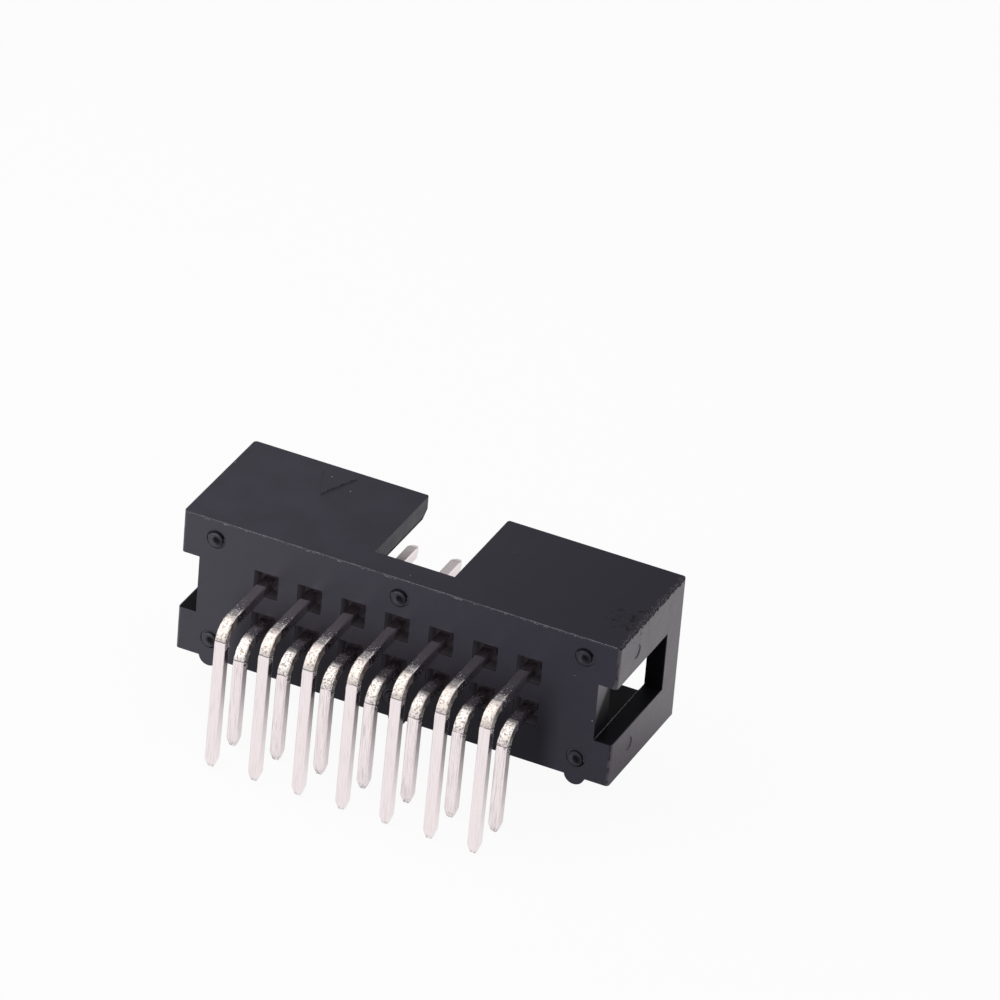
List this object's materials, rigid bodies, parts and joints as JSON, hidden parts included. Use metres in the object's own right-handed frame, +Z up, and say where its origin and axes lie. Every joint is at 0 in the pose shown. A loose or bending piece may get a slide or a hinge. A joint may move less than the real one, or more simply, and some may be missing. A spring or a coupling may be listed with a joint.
{
  "type": "right-angle idc box header",
  "caption": "Right-angle shrouded header for a ribbon-cable socket: an open-mouthed moulded box, keyed by a notch, on bent square contacts with solder tails.",
  "frame": {"origin": "centre of the pattern of solder tails, on the board's surface, which is the plane that the housing's ribs stand on", "axes": "+Z up, away from the board; +X along the contact rows, towards contact 1; -Y out of the mating mouth"},
  "size_m": [0.0252, 0.0138, 0.0115],
  "materials": {
    "housing": "satin moulded, glass-filled",
    "contacts": "bright tin plate over brass"
  },
  "bodies": {
    "root": {"housing": "housing", "pin_01": "contacts", "pin_02": "contacts", "pin_03": "contacts", "pin_04": "contacts", "pin_05": "contacts", "pin_06": "contacts", "pin_07": "contacts", "pin_08": "contacts", "pin_09": "contacts", "pin_10": "contacts", "pin_11": "contacts", "pin_12": "contacts", "pin_13": "contacts", "pin_14": "contacts"}
  },
  "joints": []
}
